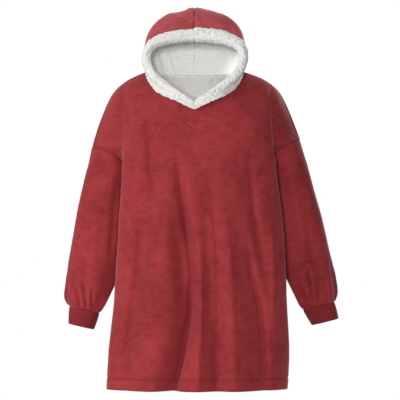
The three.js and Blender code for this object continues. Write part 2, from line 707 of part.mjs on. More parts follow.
// Keeps a piece's points on its own side of the hood's centre seam.
function keepToSide(rows, side) {
  const limit = HOOD_CENTRE_X + ((side === "left" ? -1 : 1) * SEAM_GAP) / 2;
  const clamp = side === "left" ? Math.min : Math.max;
  rows.flat().forEach((p) => {
    p.x = clamp(p.x, limit);
  });
}

const fleece = new THREE.MeshStandardMaterial({ color: RED, roughness: 0.9, metalness: 0 });
const rib = new THREE.MeshStandardMaterial({ color: RED, roughness: 0.95, metalness: 0 });
const pile = new THREE.MeshStandardMaterial({ color: CREAM, roughness: 1, metalness: 0 });

const garment = new THREE.Group();

function addMesh(name, geometry, material) {
  const mesh = new THREE.Mesh(geometry, material);
  mesh.name = name;
  garment.add(mesh);
  return mesh;
}

const frontGrid = panelGrid(FRONT, FRONT_COLUMNS, "front", BACK, "back", "left", FRONT_FOLDS);
const backGrid = panelGrid(BACK, BACK_COLUMNS, "back", FRONT, "front", "right", BACK_FOLDS);
straightenOddPoints(frontGrid.at(-1));
straightenOddPoints(backGrid.at(-1));

const sides = ["left", "right"];
const sleeveSections = { left: SLEEVE_LEFT, right: SLEEVE_RIGHT };
const cuffs = { left: CUFF_LEFT, right: CUFF_RIGHT };

const atPanelArmpit = (i) => (i === rowOf("armpit") ? ARMPIT_EASE : 1);
const front = { grid: frontGrid, group: "body", ease: atPanelArmpit };
const back = { grid: backGrid, group: "body", ease: atPanelArmpit };
const sleeves = {};
const hoods = {};
for (const side of sides) {
  const loop = armholeLoop(frontGrid, backGrid, side);
  const nearArmpit = (k) => Math.max(0, Math.cos((2 * Math.PI * k) / loop.length));
  const atArmpit = (k) => nearArmpit(k) ** ARMPIT_EASE_SHARPNESS;
  sleeves[side] = {
    grid: sleeveGrid(loop, sleeveSections[side], side),
    group: "sleeve",
    ring: true,
    turned: side === "right",
    ease: (i, k) => (i === 0 ? 1 + ARMPIT_EASE * atArmpit(k) : 1),
  };
  const neck = neckline(frontGrid, backGrid, side);
  hoods[side] = {
    grid: hoodGrid(neck, side),
    group: "hood",
    turned: side === "left",
    ease: (i) => (i === 0 ? HOOD_FOOT_EASE : 1),
  };
}
const pieces = [front, back, sleeves.left, sleeves.right, hoods.left, hoods.right];
sharedNormals(pieces);
pieces.forEach(openSeams);

const stitchRow = rowOf("stitch");
for (const [name, piece] of [["body_front", front], ["body_back", back]]) {
  const inner = wallInside(piece, (i) => (i <= stitchRow ? HEM_FOLD : FLEECE));
  straightenOddPoints(piece.outer.at(-1));
  straightenOddPoints(inner.at(-1));
  addMesh(name, wallGeometry(piece.outer, inner, false), fleece);
}
for (const side of sides) {
  const inner = sleeveInside(sleeves[side], sleeveSections[side], side);
  addMesh("sleeve_" + side, wallGeometry(sleeves[side].outer, inner, true), fleece);
  addMesh("cuff_" + side, cuffGeometry(sleeveSections[side].at(-1), cuffs[side], side), rib);
}
for (const side of sides) {
  const inner = wallInside(hoods[side], () => FLEECE);
  keepToSide([...hoods[side].outer, ...inner], side);
  addMesh("hood_" + side, wallGeometry(hoods[side].outer, inner, false), fleece);
}
const carriers = garment.children.filter((mesh) => /^(body_front|hood_)/.test(mesh.name));
addMesh("neck_lining", neckLiningGeometry(back), pile);
for (const side of sides) {
  addMesh("hood_lining_" + side, liningGeometry(hoods[side], side, carriers), pile);
}

export default garment;
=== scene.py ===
"""Dresses a hooded wearable blanket: fleece panels, sleeves and hood, rib cuffs and a curly pile lining.

Everything is in metres in the part's own frame: +Z up, the front towards -Y, the origin between the
shoulder tops. Each soft piece starts from its own solid, so it stays where that solid is.
"""
import logging
import math
from dataclasses import dataclass, field
from enum import Enum
from typing import ClassVar

import bmesh
import bpy
import numpy as np
from mathutils import Matrix, Vector, noise
from mathutils.bvhtree import BVHTree
from mathutils.kdtree import KDTree


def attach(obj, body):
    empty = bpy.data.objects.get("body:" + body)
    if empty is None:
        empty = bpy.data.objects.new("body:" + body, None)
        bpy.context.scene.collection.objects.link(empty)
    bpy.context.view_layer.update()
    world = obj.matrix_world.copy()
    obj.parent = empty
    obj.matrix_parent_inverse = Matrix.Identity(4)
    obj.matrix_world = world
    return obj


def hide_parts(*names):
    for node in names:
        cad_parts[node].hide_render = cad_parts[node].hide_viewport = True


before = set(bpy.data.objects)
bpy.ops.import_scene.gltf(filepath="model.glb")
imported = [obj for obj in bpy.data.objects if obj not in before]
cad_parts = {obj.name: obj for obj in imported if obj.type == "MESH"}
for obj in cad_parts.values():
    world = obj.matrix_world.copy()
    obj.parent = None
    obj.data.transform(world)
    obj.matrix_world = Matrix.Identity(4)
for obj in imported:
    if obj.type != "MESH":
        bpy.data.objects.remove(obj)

logging.basicConfig(level=logging.INFO, format="%(message)s")
log = logging.getLogger("garment")

MM = 0.001
BODY = "root"

# The photograph's frame: 400 pixels a side, 3 mm a pixel, with the origin at this pixel.
FRAME_PIXELS = 400
PIXEL = 3 * MM
ORIGIN_PIXEL = (197, 75)

HEM_SEAM_ROW = 376.3

MERGE_DISTANCE = 0.01 * MM
TINY = 1e-12
FULL = (1.0, 1.0, 1.0)

# Angles between faces: a rim's edge is sharper than the first, and pairs of triangles are flatter than
# the others.
RIM_ANGLE = math.radians(50)
PAIR_ANGLE = math.radians(60)
JOIN_ANGLE = math.radians(40)
JOIN_SKEW = math.radians(60)

# How often each kind of piece is subdivided, and how far a rib stands out.
FLEECE_LEVELS = 2
RIB_LEVELS = 2
PILE_LEVELS = 3
RIB_CREST = 0.12 * MM

# Solids that meet at a seam are closer than this, and each seam edge gives this many points.
SEAM_REACH = 1.2 * MM
SEAM_STEPS = 5

Colour = tuple[float, float, float, float]
Path = tuple[tuple[float, float], ...]


def at_pixel(column: float, row: float) -> tuple[float, float]:
    """The X and Z of a pixel of the photograph.

    Args:
        column: pixels from the left edge.
        row: pixels from the top edge.

    Returns:
        X and Z in metres.
    """
    return (column - ORIGIN_PIXEL[0]) * PIXEL, (ORIGIN_PIXEL[1] - row) * PIXEL


def smooth(values: np.ndarray, low: float, high: float) -> np.ndarray:
    """A soft step from 0 at low to 1 at high.

    Args:
        values: numbers to place on the step.
        low: where the step starts.
        high: where it ends.

    Returns:
        The step's heights.
    """
    share = np.clip((values - low) / (high - low), 0, 1)
    return share * share * (3 - 2 * share)


def at_least(low: float, share: np.ndarray) -> np.ndarray:
    """A share from 0 to 1, lifted so that it starts at low."""
    return low + (1 - low) * share


def perlin(points: np.ndarray, size: float, shift: float = 0.0) -> np.ndarray:
    """Smooth noise at each point.

    Args:
        points: an array of points.
        size: the size of one bump in metres.
        shift: moves the pattern, so that two layers differ.

    Returns:
        Numbers from about -1 to 1.
    """
    offset = Vector((shift, 2 * shift, -shift))
    return np.array([noise.noise(Vector(p) / size + offset) for p in points])


def curls(points: np.ndarray, size: float) -> np.ndarray:
    """Round clumps packed side by side, as curly pile has.

    Args:
        points: an array of points.
        size: the spacing of the clumps in metres.

    Returns:
        1 in the middle of a clump, falling to about 0 between clumps.
    """
    nearest = np.array([noise.voronoi(Vector(p) / size)[0][0] for p in points])
    return 1 - np.clip(nearest, 0, 1) ** 2


class Face(Enum):
    """The side of the garment that a crease lies on, or ROUND where it goes over from one to the other."""

    FRONT = -1
    BACK = 1
    ROUND = 0


@dataclass(frozen=True)
class Crease:
    """A soft trough in the cloth, or a ridge where depth is negative.

    width and depth are in millimetres. path holds pixel columns and rows of the front view, from the
    crease's head to its foot. fade and foot are the shares of the path over which it grows at its head
    and dies out at its foot. hold is how many millimetres a seam keeps it down for, and 0 where it runs
    along the seam.
    """

    STEPS: ClassVar[int] = 6
    TURNED: ClassVar[tuple[float, float]] = (0.05, 0.5)

    face: Face
    width: float
    depth: float
    path: Path
    fade: float = 0.35
    hold: float = 22
    foot: float = 0.35

    def line(self) -> np.ndarray:
        """The crease's path as X and Z, in short straight steps."""
        knots = np.array([at_pixel(*p) for p in self.path])
        share = np.linspace(0, len(knots) - 1, self.STEPS * len(knots))
        return np.stack([np.interp(share, range(len(knots)), knots[:, k]) for k in (0, 1)], 1)

    def press(self, points: np.ndarray, facing: np.ndarray) -> np.ndarray:
        """How far the crease presses each point in.

        Args:
            points: an array of points.
            facing: the Y part of each point's outward direction.

        Returns:
            Metres towards the inside.
        """
        line = self.line()
        flat = points[:, [0, 2]]
        best = np.full(len(points), np.inf)
        place = np.zeros(len(points))
        for k, (start, end) in enumerate(zip(line[:-1], line[1:])):
            along = end - start
            t = np.clip((flat - start) @ along / max(along @ along, TINY), 0, 1)
            gap = np.linalg.norm(flat - start - t[:, None] * along, axis=1)
            closer = gap < best
            best[closer] = gap[closer]
            place[closer] = (k + t[closer]) / (len(line) - 1)
        ends = smooth(place, 0, self.fade) * smooth(1 - place, 0, self.foot)
        side = 1.0 if self.face is Face.ROUND else smooth(facing * self.face.value, *self.TURNED)
        return self.depth * MM * np.exp(-((best / (self.width * MM)) ** 2)) * ends * side


@dataclass(frozen=True)
class Core:
    """The line in the middle of a tube of cloth, from which the cloth stands away.

    top and foot are in millimetres. depth_share is the tube's depth over its width.
    """

    top: tuple[float, float, float]
    foot: tuple[float, float, float]
    depth_share: float = 1.0

    def away(self, points: np.ndarray) -> np.ndarray:
        """The direction out of the tube, the same on both faces of its cloth.

        Args:
            points: an array of points.

        Returns:
            Unit vectors.
        """
        top, foot = np.array(self.top) * MM, np.array(self.foot) * MM
        axis = foot - top
        share = np.clip((points - top) @ axis / (axis @ axis), 0, 1)
        out = points - top - share[:, None] * axis
        out[:, 1] /= self.depth_share**2
        return out / np.maximum(np.linalg.norm(out, axis=1, keepdims=True), TINY)


class SeamMap:
    """The lines along which pieces of the garment meet."""

    def __init__(self, nodes: tuple[str, ...]) -> None:
        """Finds the seams between the named solids.

        Args:
            nodes: the solids' names.
        """
        forms = {name: self.merged(name) for name in nodes}
        found = []
        for name, form in forms.items():
            others = [v.co for other, f in forms.items() if other != name for v in f.verts]
            near = self.tree(others)
            close = {v.index for v in form.verts if near.find(v.co)[2] < SEAM_REACH}
            for edge in form.edges:
                a, b = edge.verts
                if a.index in close and b.index in close:
                    found += [a.co.lerp(b.co, k / SEAM_STEPS) for k in range(SEAM_STEPS + 1)]
        for form in forms.values():
            form.free()
        self.lines = self.tree(found)

    @staticmethod
    def merged(name: str) -> bmesh.types.BMesh:
        """A merged copy of a solid's mesh."""
        form = bmesh.new()
        form.from_mesh(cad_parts[name].data)
        bmesh.ops.remove_doubles(form, verts=form.verts, dist=MERGE_DISTANCE)
        form.verts.index_update()
        return form

    @staticmethod
    def tree(points: list[Vector]) -> KDTree:
        """A search tree of the points."""
        made = KDTree(len(points))
        for index, point in enumerate(points):
            made.insert(point, index)
        made.balance()
        return made

    def gaps(self, points: np.ndarray) -> np.ndarray:
        """The distance from each point to the nearest seam.

        Args:
            points: an array of points.

        Returns:
            Metres.
        """
        return np.array([self.lines.find(p)[2] for p in points])


class Backing:
    """The solids that a piece of pile is sewn to."""

    def __init__(self, nodes: tuple[str, ...]) -> None:
        """Reads the solids' faces."""
        self.trees = []
        for name in nodes:
            form = SeamMap.merged(name)
            self.trees.append(BVHTree.FromBMesh(form))
            form.free()

    def room(self, points: np.ndarray, directions: np.ndarray, most: float) -> np.ndarray:
        """How far each point can move before it meets a face.

        Args:
            points: an array of points.
            directions: the way that each point would go.
            most: how far to look.

        Returns:
            Metres, and most where nothing is in the way.
        """
        room = np.full(len(points), most)
        for k, (point, way) in enumerate(zip(points, directions)):
            for tree in self.trees:
                met = tree.ray_cast(Vector(point), Vector(way), most)[3]
                if met is not None:
                    room[k] = min(room[k], met)
        return room


class Number:
    """A number in a shader tree that Python's operators can be used on."""

    def __init__(self, tree: "ShaderTree", socket: bpy.types.NodeSocket) -> None:
        """Wraps an output socket of the tree."""
        self.tree = tree
        self.socket = socket

    def _math(self, operation: str, *values: "Number | float") -> "Number":
        """Adds one Math node."""
        inputs = dict(enumerate(values))
        return self.tree.node("ShaderNodeMath", {"operation": operation}, inputs)

    def __add__(self, other: "Number | float") -> "Number":
        """self + other."""
        return self._math("ADD", self, other)

    __radd__ = __add__

    def __mul__(self, other: "Number | float") -> "Number":
        """self * other."""
        return self._math("MULTIPLY", self, other)

    __rmul__ = __mul__

    def __sub__(self, other: "Number | float") -> "Number":
        """self - other."""
        return self._math("SUBTRACT", self, other)

    def __rsub__(self, other: "Number | float") -> "Number":
        """other - self."""
        return self._math("SUBTRACT", other, self)

    def step(self, low: float, high: float) -> "Number":
        """A soft step from 0 at low to 1 at high."""
        settings = {"interpolation_type": "SMOOTHSTEP"}
        inputs = {"Value": self, "From Min": low, "From Max": high}
        return self.tree.node("ShaderNodeMapRange", settings, inputs)


class ShaderTree:
    """The node tree of a material or a world, built by expressions and one method for nodes."""

    def __init__(self, owner: bpy.types.Material | bpy.types.World) -> None:
        """Empties the owner's node tree.

        Args:
            owner: a new material or world.
        """
        self.owner = owner
        self.owner.use_nodes = True
        self.tree = self.owner.node_tree
        self.tree.nodes.clear()

    def node(self, kind: str, settings: dict, inputs: dict, output: int | str = 0) -> Number:
        """Adds a node.

        Args:
            kind: the node's type.
            settings: its properties, set before its sockets.
            inputs: values or links of its sockets, by name or index.
            output: the socket to return.

        Returns:
            The output socket, wrapped.
        """
        made = self.tree.nodes.new(kind)
        for key, value in settings.items():
            setattr(made, key, value)
        for key, value in inputs.items():
            if isinstance(value, Number):
                self.tree.links.new(value.socket, made.inputs[key])
            else:
                made.inputs[key].default_value = value
        return Number(self, made.outputs[output])

    def place(self, scale: tuple[float, float, float], turn: float = 0.0) -> Number:
        """Object coordinates, stretched and turned about Y.

        Args:
            scale: how often the pattern repeats along each axis.
            turn: the turn about Y in radians.

        Returns:
            The coordinates.
        """
        coordinates = self.node("ShaderNodeTexCoord", {}, {}, "Object")
        inputs = {"Vector": coordinates, "Rotation": (0, turn, 0), "Scale": scale}
        return self.node("ShaderNodeMapping", {}, inputs)

    def clouds(self, where: Number, scale: float, detail: float = 2.0, warp: float = 0.0) -> Number:
        """Noise from 0 to 1.

        Args:
            where: the coordinates that it reads.
            scale: bumps a metre.
            detail: octaves of finer noise.
            warp: how far the pattern is pulled about.

        Returns:
            The noise.
        """
        inputs = {"Vector": where, "Scale": scale, "Detail": detail, "Distortion": warp}
        return self.node("ShaderNodeTexNoise", {}, inputs)

    def blend(self, share: Number, first: Number | tuple, second: Number | tuple) -> Number:
        """Mixes two colours.

        Args:
            share: 0 for the first colour and 1 for the second.
            first: a colour.
            second: a colour.

        Returns:
            The mixed colour.
        """
        settings = {"data_type": "RGBA", "clamp_factor": True}
        return self.node("ShaderNodeMix", settings, {0: share, 6: first, 7: second}, 2)

    def bump(self, height: Number, distance: float, strength: float) -> Number:
        """Turns a height into a normal.

        Args:
            height: the height, from 0 to 1.
            distance: what a height of 1 is in metres.
            strength: how much of the bump shows.

        Returns:
            The normal.
        """
        inputs = {"Height": height, "Distance": distance, "Strength": strength}
        return self.node("ShaderNodeBump", {}, inputs)

    def finish(self, inputs: dict) -> bpy.types.Material:
        """Adds the surface shader and the output.

        Args:
            inputs: values or links of the shader's sockets.

        Returns:
            The finished material.
        """
        shader = self.node("ShaderNodeBsdfPrincipled", {}, inputs)
        self.show(shader, "ShaderNodeOutputMaterial")
        return self.owner

    def show(self, shader: Number, kind: str) -> None:
        """Links the shader to an output node of this kind."""
        made = self.tree.nodes.new(kind)
        self.tree.links.new(shader.socket, made.inputs["Surface"])


@dataclass(frozen=True)
class FleeceFinish:
    """Velvety plush fleece: brushed patches, fine nap and a soft sheen. Scales are bumps a metre."""

    deep: Colour = (0.168, 0.0115, 0.0140, 1)
    light: Colour = (0.342, 0.033, 0.038, 1)
    # Painted shade: the dark colour that seams and the hem's seam line are blended towards.
    seam: Colour = (0.080, 0.005, 0.007, 1)
    sheen_colour: Colour = (1.0, 0.50, 0.52, 1)
    sheen: float = 0.30
    sheen_roughness: float = 0.40
    patch_scale: float = 9.0
    blotch_scale: float = 38.0
    stroke_scale: float = 120.0
    fibre_scale: float = 380.0
    nap_scale: float = 1300.0
    nap_height: float = 1.5 * MM
    name: str = "fleece"

    def material(self) -> bpy.types.Material:
        """The finished material."""
        t = ShaderTree(bpy.data.materials.new(self.name))
        even = t.place(FULL)
        patches = t.clouds(t.place((1.0, 1.0, 0.7), 0.2), self.patch_scale, 2.0, 0.3)
        blotches = t.clouds(t.place((0.8, 0.8, 1.0), -0.4), self.blotch_scale, 3.0, 0.6)
        strokes = t.clouds(t.place((0.5, 0.5, 1.0), 0.15), self.stroke_scale, 3.0, 0.5)
        fibres = t.clouds(even, self.fibre_scale, 2.0, 0.3)
        nap = t.clouds(even, self.nap_scale, 2.0)
        # This attribute holds painted shade, marked along seams, the hem's seam line and in crease hollows.
        painted_shade = t.node("ShaderNodeAttribute", {"attribute_name": Cloth.SHADE}, {}, "Fac")
        brushed = blotches.step(0.54, 0.66) * strokes.step(0.44, 0.60)
        shade = patches.step(0.30, 0.70) * 0.34 + blotches.step(0.32, 0.68) * 0.28
        shade = shade + strokes.step(0.34, 0.66) * 0.18 + fibres.step(0.30, 0.70) * 0.20
        # Painted shade: darker along seams, the hem's seam line and in crease hollows.
        shade = (shade - brushed * 0.20) * (1.0 - painted_shade * 0.80)
        height = nap * 0.25 + fibres * 0.40 + strokes * 0.35
        colour = t.blend(shade, self.deep, self.light)
        return t.finish({
            # Painted shade: seams and the hem's seam line blend towards the dark seam colour.
            "Base Color": t.blend(painted_shade.step(0.5, 1.0) * 0.75, colour, self.seam),
            "Roughness": 0.90 - shade * 0.12,
            "Specular IOR Level": 0.22,
            "Sheen Weight": self.sheen,
            "Sheen Roughness": self.sheen_roughness,
            "Sheen Tint": self.sheen_colour,
            "Normal": t.bump(height, self.nap_height, 0.4),
        })


@dataclass(frozen=True)
class RibFinish:
    """Rib knit of the cuffs: painted shade, a darker groove between ribs, and small knit loops. Scales are
    bumps a metre.
    """

    # Painted shade: the colour in the grooves between ribs.
    groove: Colour = (0.085, 0.006, 0.008, 1)
    crown: Colour = (0.262, 0.022, 0.027, 1)
    sheen_colour: Colour = (1.0, 0.55, 0.56, 1)
    loop_scale: float = 620.0
    row_scale: float = 420.0
    loop_height: float = 1.2 * MM

    def material(self) -> bpy.types.Material:
        """The finished material."""
        t = ShaderTree(bpy.data.materials.new("rib"))
        high = t.node("ShaderNodeAttribute", {"attribute_name": Cloth.HEIGHT}, {}, "Fac")
        loops = t.clouds(t.place(FULL), self.loop_scale, 2.0)
        rows = t.clouds(t.place((0.30, 0.30, 1.0)), self.row_scale, 1.0)
        shade = high * 0.6 + loops * 0.25 + rows * 0.15
        return t.finish({
            "Base Color": t.blend(shade, self.groove, self.crown),
            "Roughness": 0.94 - loops * 0.1,
            "Specular IOR Level": 0.2,
            "Sheen Weight": 0.16,
            "Sheen Roughness": 0.5,
            "Sheen Tint": self.sheen_colour,
            "Normal": t.bump(loops * 0.5 + rows * 0.5, self.loop_height, 0.6),
        })


@dataclass(frozen=True)
class PileFinish:
    """Curly white pile: painted shade, warm and darker, between the curls and by the seams, and painted
    light deeper inside the hood. Scales are bumps a metre.
    """

    # Painted shade: the colour between the curls.
    hollow: Colour = (0.400, 0.390, 0.350, 1)
    curl: Colour = (0.970, 0.965, 0.945, 1)
    wool_scale: float = 240.0
    strand_scale: float = 800.0
    wool_height: float = 2.4 * MM
    # Painted light: how far the pile is whitened deep inside the hood.
    most_painted_light: float = 0.84

    def material(self) -> bpy.types.Material:
        """The finished material."""
        t = ShaderTree(bpy.data.materials.new("pile"))
        high = t.node("ShaderNodeAttribute", {"attribute_name": Cloth.HEIGHT}, {}, "Fac")
        even = t.place(FULL)
        wool = t.clouds(even, self.wool_scale, 3.0, 1.6)
        strands = t.clouds(even, self.strand_scale, 2.0, 2.4)
        shade = high * 0.6 + wool.step(0.28, 0.6) * 0.3 + strands.step(0.3, 0.6) * 0.1
        # Painted light: the pile is whitened deeper inside the hood, where little light reaches.
        inside_painted_light = t.node("ShaderNodeAttribute", {"attribute_name": Cloth.PAINTED_LIGHT}, {}, "Fac")
        shade = 1.0 - (1.0 - shade) * (1.0 - inside_painted_light * self.most_painted_light)
        return t.finish({
            "Base Color": t.blend(shade, self.hollow, self.curl),
            "Roughness": 0.98 - strands * 0.08,
            "Specular IOR Level": 0.15,
            "Sheen Weight": 0.30,
            "Sheen Roughness": 0.6,
            "Normal": t.bump(wool * 0.65 + strands * 0.35, self.wool_height, 0.75),
        })


@dataclass(frozen=True)
class ThreadFinish:
    """Sewing thread in the fleece's colour."""

    dark: Colour = (0.15, 0.012, 0.015, 1)
    bright: Colour = (0.27, 0.026, 0.030, 1)
    twist_scale: float = 1500.0
    twist_height: float = 0.3 * MM

    def material(self) -> bpy.types.Material:
        """The finished material."""
        t = ShaderTree(bpy.data.materials.new("thread"))
        twist = t.clouds(t.place(FULL), self.twist_scale, 1.0)
        return t.finish({
            "Base Color": t.blend(twist, self.dark, self.bright),
            "Roughness": 0.55 + twist * 0.2,
            "Normal": t.bump(twist, self.twist_height, 0.5),
        })


@dataclass
class Cloth:
    """One soft piece, started from its own solid and moved into its finished shape."""

    HEIGHT: ClassVar[str] = "crest_height"
    # Painted shade: darker along seams, the hem's seam line and in crease hollows.
    SHADE: ClassVar[str] = "painted_seam_crease_shade"
    # Painted light: 1 deep inside the hood, where the pile is whitened.
    PAINTED_LIGHT: ClassVar[str] = "pile_painted_light"

    name: str
    node: str
    slot: str
    levels: int
    core: Core
    mesh: bpy.types.Mesh = field(init=False)
    points: np.ndarray = field(init=False)

    def start(self) -> None:
        """Copies the solid's mesh, merges it, pairs its triangles and makes it smooth."""
        form = SeamMap.merged(self.node)
        self.pair_triangles(form)
        sharp = form.edges.layers.float.new("crease_edge")
        for edge in form.edges:
            if len(edge.link_faces) == 2 and edge.calc_face_angle(0) > RIM_ANGLE:
                edge[sharp] = 1.0
        rough = bpy.data.meshes.new(self.name + "_rough")
        form.to_mesh(rough)
        form.free()
        carrier = bpy.data.objects.new(self.name + "_carrier", rough)
        bpy.context.scene.collection.objects.link(carrier)
        smoother = carrier.modifiers.new("smooth", "SUBSURF")
        smoother.levels = smoother.render_levels = self.levels
        smoother.use_limit_surface = False
        shown = carrier.evaluated_get(bpy.context.evaluated_depsgraph_get())
        self.mesh = bpy.data.meshes.new_from_object(shown)
        self.mesh.name = self.name
        bpy.data.objects.remove(carrier)
        bpy.data.meshes.remove(rough)
        self.read()

    @staticmethod
    def pair_triangles(form: bmesh.types.BMesh) -> None:
        """Joins triangles two by two over their longest edge, which gives the woven grid back.

        Args:
            form: the merged mesh.
        """
        diagonals = []
        for edge in form.edges:
            if len(edge.link_faces) != 2:
                continue
            length = edge.calc_length()
            others = [e.calc_length() for f in edge.link_faces for e in f.edges if e != edge]
            if all(len(f.edges) == 3 for f in edge.link_faces) and length > max(others):
                if edge.calc_face_angle(math.pi) < PAIR_ANGLE:
                    diagonals.append(edge)
        bmesh.ops.dissolve_edges(form, edges=diagonals, use_verts=False, use_face_split=False)
        left = [f for f in form.faces if len(f.edges) == 3]
        bmesh.ops.join_triangles(
            form, faces=left, angle_face_threshold=JOIN_ANGLE, angle_shape_threshold=JOIN_SKEW
        )

    def read(self) -> None:
        """Reads the mesh's points into an array."""
        flat = np.zeros(len(self.mesh.vertices) * 3, np.float32)
        self.mesh.vertices.foreach_get("co", flat)
        self.points = flat.reshape(-1, 3).astype(float)

    def write(self) -> None:
        """Writes the array of points back into the mesh."""
        self.mesh.vertices.foreach_set("co", self.points.astype(np.float32).ravel())
        self.mesh.update()

    def cut_at(self, height: float) -> None:
        """Adds a level loop round the piece, so that a fine seam has points to lie on.

        Args:
            height: the Z of the loop.
        """
        form = bmesh.new()
        form.from_mesh(self.mesh)
        parts = [*form.verts, *form.edges, *form.faces]
        bmesh.ops.bisect_plane(form, geom=parts, plane_co=(0, 0, height), plane_no=(0, 0, 1))
        form.to_mesh(self.mesh)
        form.free()
        self.read()

    def refine(self, wanted: np.ndarray, longest: float) -> None:
        """Halves the long edges between the wanted points.

        Args:
            wanted: True at each point of the part to refine.
            longest: edges up to this length stay whole.
        """
        form = bmesh.new()
        form.from_mesh(self.mesh)
        edges = [
            edge
            for edge in form.edges
            if wanted[edge.verts[0].index] and wanted[edge.verts[1].index] and edge.calc_length() > longest
        ]
        bmesh.ops.subdivide_edges(form, edges=edges, cuts=1, smooth=0.0, use_grid_fill=True)
        form.to_mesh(self.mesh)
        form.free()
        self.read()

    def crests(self, reach: float) -> np.ndarray:
        """How far each point stands out from its neighbours.

        Args:
            reach: the standing-out in metres that counts as a full crest.

        Returns:
            0 in a hollow, 0.5 on flat cloth and 1 on a crest.
        """
        out = ((self.points - self.around(self.points)) * self.normals()).sum(1)
        return np.clip(0.5 + out / reach / 2, 0, 1)

    def around(self, values: np.ndarray) -> np.ndarray:
        """The mean of each point's neighbours.

        Args:
            values: one row of numbers a point.

        Returns:
            The means, in rows of the same kind.
        """
        ends = np.zeros(len(self.mesh.edges) * 2, int)
        self.mesh.edges.foreach_get("vertices", ends)
        a, b = ends.reshape(-1, 2).T
        total = np.zeros_like(values)
        count = np.zeros(len(values))
        for one, other in ((a, b), (b, a)):
            np.add.at(total, one, values[other])
            np.add.at(count, one, 1)
        return total / np.maximum(count, 1)[:, None]

    def push(self, distances: np.ndarray, directions: np.ndarray) -> None:
        """Moves each point along its direction."""
        self.points = self.points + directions * distances[:, None]
        self.write()

    def outer(self) -> np.ndarray:
        """1 on the face that looks out of the garment and 0 on the one that looks in."""
        return smooth((self.normals() * self.core.away(self.points)).sum(1), -0.1, 0.4)

    def normals(self) -> np.ndarray:
        """The outward direction at each point."""
        flat = np.zeros(len(self.mesh.vertices) * 3, np.float32)
        self.mesh.vertex_normals.foreach_get("vector", flat)
        return flat.reshape(-1, 3).astype(float)

    def mark(self, name: str, values: np.ndarray) -> None:
        """Keeps a number at each point for the material.

        Args:
            name: the attribute's name.
            values: one number a point.
        """
        layer = self.mesh.attributes.new(name, "FLOAT", "POINT")
        layer.data.foreach_set("value", values.astype(np.float32))

    def place(self, material: bpy.types.Material) -> bpy.types.Object:
        """Makes the finished piece, which rides on the body and stands for its solid.

        Args:
            material: the piece's finish.

        Returns:
            The piece.
        """
        self.mesh.materials.clear()
        self.mesh.materials.append(material)
        self.mesh.polygons.foreach_set("use_smooth", [True] * len(self.mesh.polygons))
        piece = bpy.data.objects.new(self.name, self.mesh)
        bpy.context.scene.collection.objects.link(piece)
        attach(piece, BODY)
        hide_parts(self.node)
        area = sum(f.area for f in self.mesh.polygons) / 2
        spans = np.ptp(self.points, axis=0).round(3)
        log.info("%s: %d faces, %.3f m2, spans %s", self.name, len(self.mesh.polygons), area, spans)
        return piece


class Held(Enum):
    """How a sheet of cloth is held."""

    DRAPED = "draped"
    GATHERED = "gathered"
    STRETCHED = "stretched"


@dataclass(frozen=True)
class Cut:
    """The flat piece of cloth that a panel was cut from."""

    width: float
    length: float
    area: float
    held: Held

    def declare(self, piece: bpy.types.Object, sewing: list[bpy.types.Object]) -> None:
        """Takes the piece and its stitches, and does nothing with them."""


